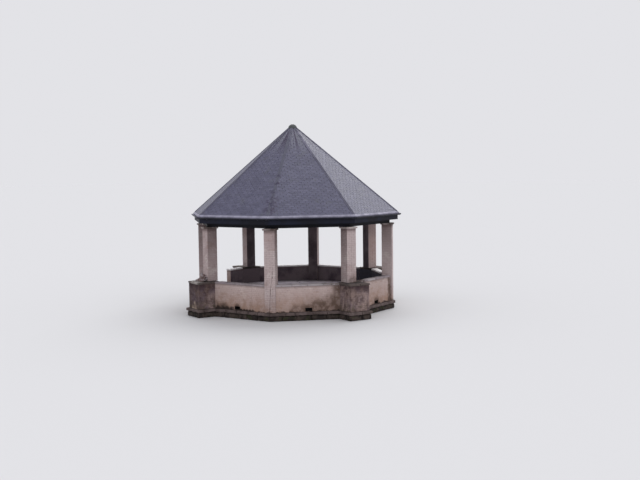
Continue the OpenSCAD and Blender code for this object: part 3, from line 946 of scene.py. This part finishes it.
def addStone(shape, plan, low, high, place, course):
    addBlock(shape, plan, low, high, place, random.random(), plinthStones["cell"],
             rough=course["rough"], soften=course["soften"])


def addStonesAlong(shape, place, outerEnds, innerEnds, inner, outer, low, high, course):
    # a row of stones of uneven length between slanted ends
    half = plinthStones["gap"] / 2
    count = max(1, round((outerEnds[1] - outerEnds[0]) / plinthStones["length"]))
    cuts = [0.0] + [(i + jitter(plinthStones["uneven"])) / count for i in range(1, count)] + [1.0]
    for first, last in zip(cuts, cuts[1:]):
        ends = [(left + (right - left) * first + half, left + (right - left) * last - half)
                for left, right in (outerEnds, innerEnds)]
        top = high - random.uniform(plinthStones["leastDrop"], 1.0) * course["drop"]
        addStone(shape, slantedPlan(*ends, inner, outer), low, top, place, course)


def plinthPiece():
    shape = newShape()
    for low, high, foot, back, course in stoneCourses():
        outer = plinthFace - back - course["inset"]
        inner = outer - plinthStones["deep"]
        core = (outer - plinthStones["core"]) / cos(halfTurn)
        levels = (high - plinthStones["coreDrop"], foot)
        addSlab(shape, *[[outAt(corner, core, 0, up) for corner in around] for up in levels], 0.5)
        ends = [(-out * sideSpread, out * sideSpread) for out in (outer, inner)]
        for side in around:
            addStonesAlong(shape, atSide(side), *ends, inner, outer, low, high, course)
    makePiece("plinth_stones", shape, "plinth", ["base_plinth"], soft=True)


def footPiece():
    shape = newShape()
    deep, core = plinthStones["deep"], plinthStones["core"]
    for low, high, foot, back, course in stoneCourses():
        half = pedestalHalf + plinthFace - wallFace - back - course["inset"]
        near = plinthFace - back
        outer = footFace - back - course["inset"]
        for corner in pedestalCorners:
            place = atCorner(corner)
            addBlock(shape, planOf(core - half, half - core, near, outer - core), foot,
                     high - plinthStones["coreDrop"], place)
            addStonesAlong(shape, place, (-half, half), (-half, half), outer - deep, outer, low, high, course)
            for left, right in ((-half, deep - half), (half - deep, half)):
                addStone(shape, planOf(left, right, near, outer - deep - plinthStones["gap"]), low,
                         high - course["drop"], place, course)
    makePiece("pedestal_foot_stones", shape, "plinth", ["pedestal_feet"], soft=True)


plinthPiece()
footPiece()
print("stonework set")

# Roof covering: slates over boards, trimmed to the hips
slating = {"gauge": 0.115, "width": 0.245, "lap": 0.05, "thick": 0.004, "lift": 0.0035, "gap": 0.014,
           "below": 0.002, "uneven": 0.0018, "hipGap": 0.004, "topStop": 0.16, "eavesStop": 0.004,
           "aside": 0.002, "slip": 0.004, "slipped": 0.006, "slippedBy": (0.02, 0.05),
           "chipped": 0.06, "chippedBy": (0.015, 0.05)}
boarding = {"width": 0.15, "thick": 0.02, "cover": 0.06, "eavesStop": 0.09, "topStop": 0.05, "joint": 0.002,
            "hipGap": 0.001, "arris": 0.002}


def onSlope(side, across, down, rise):
    out = down * cos(roofPitch) + rise * sin(roofPitch)
    return alongSide(side, across, apexUp - down * sin(roofPitch) + rise * cos(roofPitch), out)


def trim(outline, across, down, limit):
    # the part of an outline where across * x + down * y stays under a limit
    kept = []
    for first, second in zip(outline, outline[1:] + outline[:1]):
        here, after = (across * x + down * y - limit for x, y in (first, second))
        if here <= 0:
            kept.append(first)
        if here * after < 0:
            share = here / (here - after)
            kept.append([start + (end - start) * share for start, end in zip(first, second)])
    return kept


def addOnSlope(shape, side, look, left, right, head, tail, topAt, chip=None):
    # a slate or board on a slope, trimmed to both hips
    tone = random.random()
    outline = [(left, head), (left, tail), (right, tail), (right, head)]
    for turn in (1, -1):
        outline = trim(outline, turn, -slopeSpread, -look["hipGap"])
    if chip:
        outline = trim(outline, *chip)
    if len(outline) < 3:
        return
    top, bottom = [[onSlope(side, across, down, topAt(down) - drop) for across, down in outline]
                   for drop in (0.0, look["thick"])]
    addSlab(shape, top, bottom, tone)


def slopeSlates(side):
    look = slating
    shape = newShape()
    gauge, width = look["gauge"], look["width"]
    for row in range(int((slopeLength - look["topStop"]) / gauge)):
        tail = slopeLength - row * gauge - look["eavesStop"]
        head = tail - gauge - look["lap"]
        reach = tail * slopeSpread
        offset = (0.5 if row % 2 else 0.0) * width
        count = int(reach / width) + 2
        for i in range(-count, count + 1):
            left = i * width + offset + look["gap"] / 2 + jitter(look["aside"])
            right = left + width - look["gap"]
            if left > reach or right < -reach:
                continue
            slip = jitter(look["slip"])
            if random.random() < look["slipped"]:
                slip = random.uniform(*look["slippedBy"])
            drop = look["below"] + random.uniform(0, look["uneven"])
            low = min(tail + slip, slopeLength)
            chip = None
            if random.random() < look["chipped"]:
                turn = random.choice((-1, 1))
                corner = right if turn > 0 else left
                chip = (turn, 1, turn * corner + low - random.uniform(*look["chippedBy"]))

            def topAt(down, low=low, drop=drop):
                return -drop - look["lift"] * (low - down) / (low - head)

            addOnSlope(shape, side, look, left, right, head, low, topAt, chip)
    name = "roof_" + sideNames[side]
    makePiece(name + "_slates", shape, "slate", [name])


def slopeBoards(side):
    look = boarding
    shape = newShape()
    length = slopeLength - look["eavesStop"]
    for row in range(int(length / look["width"])):
        tail = length - row * look["width"]
        reach = tail * slopeSpread
        head = max(tail - look["width"] + look["joint"], look["topStop"])
        addOnSlope(shape, side, look, -reach, reach, head, tail, lambda down: look["thick"] - look["cover"])
    name = "roof_" + sideNames[side]
    makePiece(name + "_boards", shape, "timber", [name], arris=look["arris"])


for side in around:
    slopeSlates(side)
    slopeBoards(side)
print("roof covered")

# Soffit boards and gutter fittings
eavesWork = {"soffitBoards": 3, "boardGap": 0.003, "mitreGap": 0.001, "arris": 0.003, "bracketEvery": 0.9,
             "strap": 0.028, "strapThick": 0.004, "strapGap": 0.0005, "strapDrop": 0.002, "strapFrom": 0.1,
             "steps": 10, "sleeve": 0.07, "tones": (0.3, 0.6)}


def addRun(shape, side, profile, ends, tone):
    # an outline of distances outwards and heights, run along a side between two ends. Each is a distance
    # across, and how much that grows with the distance outwards
    first, last = [[addPoint(shape, alongSide(side, across + grow * out, up, out), tone)
                    for out, up in profile] for across, grow in ends]
    shape["faces"] += [first[::-1], last]
    for i, corner in enumerate(first):
        after = (i + 1) % len(first)
        shape["faces"].append([corner, first[after], last[after], last[i]])


def soffitPiece():
    look = eavesWork
    shape = newShape()
    _, (_, outer), (low, high) = reachOf("soffit")
    inner = reachOf("ring_beam")[1][1]
    width = (outer - inner) / look["soffitBoards"]
    ends = ((look["mitreGap"], -sideSpread), (-look["mitreGap"], sideSpread))
    for side in around:
        for i in range(look["soffitBoards"]):
            near = inner + i * width + look["boardGap"]
            far = inner + (i + 1) * width
            profile = [(near, low), (far, low), (far, high), (near, high)]
            addRun(shape, side, profile, ends, random.random())
    makePiece("soffit_boards", shape, "navyBoards", ["soffit"], arris=look["arris"])


def gutterStrap(radius, middle, rim):
    # outline of a strap under the gutter, from the fascia round to the outer rim
    start, steps = eavesWork["strapFrom"], eavesWork["steps"]
    angles = [start + (pi - start) * i / steps for i in range(steps + 1)]
    rows = ((radius + eavesWork["strapThick"], angles), (radius, angles[::-1]))
    return [(middle - cos(angle) * reach, rim - sin(angle) * reach)
            for reach, row in rows for angle in row]


def gutterFittings():
    look = eavesWork
    shape = newShape()
    _, (_, gutterOut), (_, gutterRim) = reachOf("gutter")
    fasciaOut = reachOf("fascia")[1][1]
    half = fasciaOut * sideSpread
    count = round(2 * half / look["bracketEvery"])
    edge, gap, back = look["strap"] / 2, look["strapGap"], half - look["sleeve"]
    radius = (gutterOut - fasciaOut) / 2
    strap = gutterStrap(radius + gap, gutterOut - radius, gutterRim - look["strapDrop"])
    bracketTone, sleeveTone = look["tones"]
    for side in around:
        for i in range(count):
            spot = -half + (i + 0.5) * 2 * half / count
            addRun(shape, side, strap, ((spot - edge, 0), (spot + edge, 0)), bracketTone)
        for ends in (((gap, -sideSpread), (-back, 0)), ((back, 0), (-gap, sideSpread))):
            addRun(shape, side, strap, ends, sleeveTone)
    makePiece("gutter_brackets", shape, "eaves")


soffitPiece()
gutterFittings()
print("eaves fitted")

# Stage: a plain pale floor that meets the pale sky unseen, soft light, and the camera of the photograph
stageLook = {"sky": tint(222, 222, 226), "skyLight": 1.05, "floorReach": 600}
lamps = {"key_light": {"energy": 0.46, "bearing": 60, "height": 42, "angle": 60},
         "back_light": {"energy": 1.5, "bearing": 195, "height": 50, "angle": 60}}
viewPoint = {"distance": 40.567, "bearing": 35.63, "height": 5.879, "pan": 1.638, "tilt": -4.093,
             "roll": -0.694, "lens": 50.95, "sensor": 36, "farthest": 1000}


def floorShade():
    # the shade that makes the lit floor as bright as the sky behind it
    fromLamps = [lamp["energy"] * sin(radians(lamp["height"])) / pi for lamp in lamps.values()]
    sky = [value * stageLook["skyLight"] for value in stageLook["sky"][:3]]
    return (*[value / (value + sum(fromLamps)) for value in sky], 1.0)


def levelTowards(bearing, reach):
    return Vector((sin(bearing) * reach, -cos(bearing) * reach, 0))


def makeStage():
    reach = stageLook["floorReach"]
    mesh = bpy.data.meshes.new("stage_floor")
    corners = [(-reach, -reach, 0), (reach, -reach, 0), (reach, reach, 0), (-reach, reach, 0)]
    mesh.from_pydata(corners, [], [(0, 1, 2, 3)])
    floor = addToScene("stage_floor", mesh)
    plain = Finish("stageFloor", {}, None, specular=0.0, roughness=1.0)
    plain.surface.inputs["Base Color"].default_value = floorShade()
    mesh.materials.append(plain.material)
    world = bpy.data.worlds.new("studio")
    bpy.context.scene.world = world
    world.use_nodes = True
    sky = world.node_tree.nodes["Background"]
    sky.inputs["Color"].default_value = stageLook["sky"]
    sky.inputs["Strength"].default_value = stageLook["skyLight"]
    bpy.context.scene.view_settings.view_transform = "Standard"


def makeLamps():
    for name, look in lamps.items():
        lamp = bpy.data.lights.new(name, "SUN")
        lamp.energy = look["energy"]
        lamp.angle = radians(look["angle"])
        light = addToScene(name, lamp)
        bearing, height = radians(look["bearing"]), radians(look["height"])
        towards = levelTowards(bearing, cos(height)) + Vector((0, 0, sin(height)))
        light.rotation_mode = "QUATERNION"
        light.rotation_quaternion = towards.to_track_quat("Z", "Y")


def makeCamera():
    look = viewPoint
    lens = bpy.data.cameras.new("camera")
    lens.sensor_width = look["sensor"]
    lens.lens = look["lens"]
    lens.clip_end = look["farthest"]
    camera = addToScene("camera", lens)
    bearing = radians(look["bearing"])
    spot = levelTowards(bearing, look["distance"]) + Vector((0, 0, look["height"]))
    camera.matrix_world = Matrix.Translation(spot) \
        @ Matrix.Rotation(bearing - radians(look["pan"]), 4, "Z") \
        @ Matrix.Rotation(radians(90 + look["tilt"]), 4, "X") \
        @ Matrix.Rotation(radians(look["roll"]), 4, "Z")
    bpy.context.scene.camera = camera


makeStage()
makeLamps()
makeCamera()
print("stage, light and camera ready")
